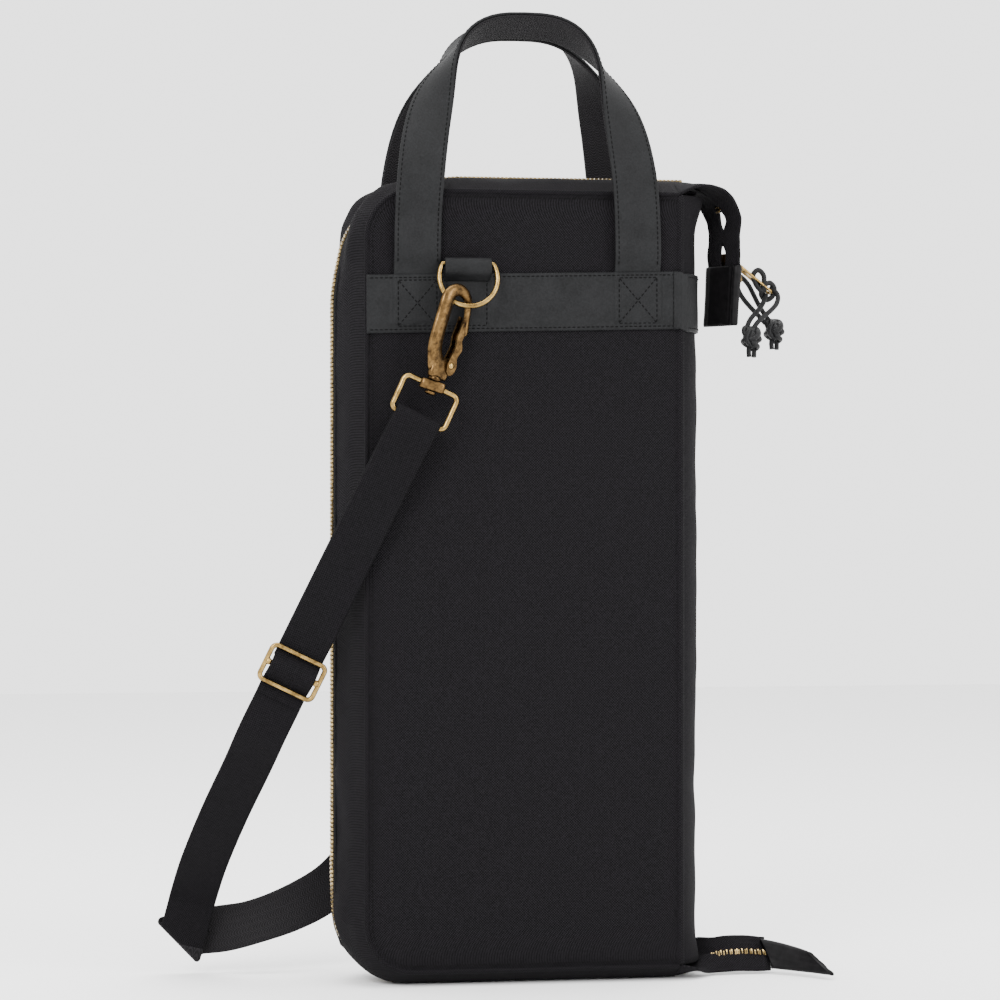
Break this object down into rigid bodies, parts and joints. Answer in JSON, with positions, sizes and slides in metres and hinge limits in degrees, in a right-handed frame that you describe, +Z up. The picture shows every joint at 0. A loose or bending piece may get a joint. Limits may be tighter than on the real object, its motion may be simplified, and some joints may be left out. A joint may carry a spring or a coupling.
{
  "type": "drum stick bag",
  "caption": "Upright book-style stick bag of canvas with a zip round three sides, leather handles and band, and a clip-on shoulder strap.",
  "frame": {"origin": "on the floor under the zip's middle plane, below the middle of the band's leather", "axes": "+X towards the spine, +Y from the front half to the rear half, +Z up"},
  "size_m": [0.4011, 0.1096, 0.5779],
  "materials": {
    "canvas": "matte woven canvas",
    "leather": "matte nubuck",
    "handle_webbing": "matte woven",
    "foam_board": "matte",
    "lining": "matte",
    "zip_tape": "matte woven",
    "zip_teeth": "polished",
    "webbing": "matte woven",
    "cap_cloth": "satin",
    "lace": "braided",
    "brass": "antique"
  },
  "bodies": {
    "rear_half": {"rear_panel": "canvas", "rear_gusset": "canvas", "rear_board": "foam_board", "rear_lining": "lining", "rear_stick_pocket": "lining", "rear_zip_tape": "zip_tape", "rear_zip_teeth": "zip_teeth", "rear_band": "leather", "rear_handle_roots": "leather", "rear_ring_tab": "leather", "rear_strap_loop": "brass", "strap_rear": "webbing", "strap_rear_end": "webbing"},
    "front_half": {"front_panel": "canvas", "front_gusset": "canvas", "front_board": "foam_board", "front_lining": "lining", "front_stick_pocket": "lining", "front_zip_tape": "zip_tape", "front_zip_teeth": "zip_teeth", "front_band": "leather", "front_handle_roots": "leather", "front_ring_tab": "leather", "front_strap_loop": "brass", "strap_double": "webbing", "strap_lower": "webbing"},
    "spine": {"spine_panel": "canvas", "spine_lining": "lining", "spine_band": "leather", "top_tail_root": "canvas", "bottom_tail_root": "canvas"},
    "front_handle": {"front_handle_leather": "leather", "front_handle_webbing": "handle_webbing"},
    "rear_handle": {"rear_handle_leather": "leather", "rear_handle_webbing": "handle_webbing"},
    "front_ring": {"front_d_ring": "brass"},
    "rear_ring": {"rear_d_ring": "brass"},
    "front_snap": {"front_snap_hook": "brass", "front_gate_rivet": "brass", "front_swivel_stem": "brass"},
    "rear_snap": {"rear_snap_hook": "brass", "rear_gate_rivet": "brass", "rear_swivel_stem": "brass"},
    "front_gate": {"front_snap_gate": "brass"},
    "rear_gate": {"rear_snap_gate": "brass"},
    "glide": {"tri_glide": "brass"},
    "top_tail": {"top_tail_tapes": "zip_tape", "top_tail_cap": "cap_cloth"},
    "bottom_tail": {"bottom_tail_tapes": "zip_tape", "bottom_tail_cap": "cap_cloth"},
    "lower_slider": {"lower_slider": "brass"},
    "upper_slider": {"upper_slider": "brass"},
    "lower_pull": {"lower_pull": "brass", "lower_lace_outer": "lace", "lower_lace_inner": "lace", "lower_lace_knot": "lace"},
    "upper_pull": {"upper_pull": "brass", "upper_lace_outer": "lace", "upper_lace_inner": "lace", "upper_lace_knot": "lace"}
  },
  "joints": [
    {"name": "spine_open", "type": "hinge", "parent": "rear_half", "child": "spine", "pos_m": [0.0933, 0.0325, 0], "axis": [0, 0, 1], "range_deg": [0, 90]},
    {"name": "front_open", "type": "hinge", "parent": "spine", "child": "front_half", "pos_m": [0.0933, -0.0325, 0], "axis": [0, 0, 1], "range_deg": [0, 90]},
    {"name": "front_handle_fold", "type": "hinge", "parent": "front_half", "child": "front_handle", "pos_m": [0, -0.0362, 0.4334], "axis": [1, 0, 0], "range_deg": [0, 70]},
    {"name": "rear_handle_fold", "type": "hinge", "parent": "rear_half", "child": "rear_handle", "pos_m": [0, 0.0362, 0.4334], "axis": [1, 0, 0], "range_deg": [-70, 0]},
    {"name": "front_ring_swing", "type": "hinge", "parent": "front_half", "child": "front_ring", "pos_m": [-0.037, -0.0405, 0.4263], "axis": [1, 0, 0], "range_deg": [0, 1.5]},
    {"name": "front_snap_swivel", "type": "hinge", "parent": "front_half", "child": "front_snap", "pos_m": [-0.0593, -0.0465, 0.3541], "axis": [0.2974, 0, 0.9548], "range_deg": [0, 3]},
    {"name": "front_gate_swing", "type": "hinge", "parent": "front_snap", "child": "front_gate", "pos_m": [-0.04922, -0.04258, 0.36615], "axis": [0.52, -0.8387, -0.162], "range_deg": [0, 9], "stiffness_Nm_per_rad": 0.01, "springref_deg": -5.73},
    {"name": "rear_ring_swing", "type": "hinge", "parent": "rear_half", "child": "rear_ring", "pos_m": [0.037, 0.0405, 0.4263], "axis": [1, 0, 0], "range_deg": [-1.5, 0]},
    {"name": "rear_snap_swivel", "type": "hinge", "parent": "rear_half", "child": "rear_snap", "pos_m": [0.0147, 0.0465, 0.3541], "axis": [0.2974, 0, 0.9548], "range_deg": [-3, 0]},
    {"name": "rear_gate_swing", "type": "hinge", "parent": "rear_snap", "child": "rear_gate", "pos_m": [0.02478, 0.04258, 0.36615], "axis": [-0.52, -0.8387, 0.162], "range_deg": [0, 9], "stiffness_Nm_per_rad": 0.01, "springref_deg": -5.73},
    {"name": "glide_slide", "type": "slide", "parent": "front_half", "child": "glide", "axis": [0.4363, -0.0755, 0.8966], "range_m": [-0.01, 0.09], "deforming": ["strap_double", "strap_lower"]},
    {"name": "top_tail_lift", "type": "hinge", "parent": "spine", "child": "top_tail", "pos_m": [0.109, 0, 0.4725], "axis": [0, -1, 0], "range_deg": [0, 80]},
    {"name": "bottom_tail_lift", "type": "hinge", "parent": "spine", "child": "bottom_tail", "pos_m": [0.109, 0, 0.0025], "axis": [0, -1, 0], "range_deg": [0, 35]},
    {"name": "lower_slider_run", "type": "slide", "parent": "top_tail", "child": "lower_slider", "axis": [0, 0, 1], "range_m": [0, 0.006]},
    {"name": "upper_slider_run", "type": "slide", "parent": "top_tail", "child": "upper_slider", "axis": [0, 0, 1], "range_m": [0, 0.006]},
    {"name": "lower_pull_swing", "type": "hinge", "parent": "lower_slider", "child": "lower_pull", "pos_m": [0.1341, 0.0041, 0.4334], "axis": [0.5, -0.866, 0], "range_deg": [-7, 0]},
    {"name": "upper_pull_swing", "type": "hinge", "parent": "upper_slider", "child": "upper_pull", "pos_m": [0.1341, 0.0041, 0.446], "axis": [0.5, -0.866, 0], "range_deg": [0, 60]}
  ],
  "couplings": [
    {"joint": "front_open", "follows": "spine_open", "ratio": 1},
    {"joint": "upper_slider_run", "follows": "lower_slider_run", "ratio": 1}
  ]
}
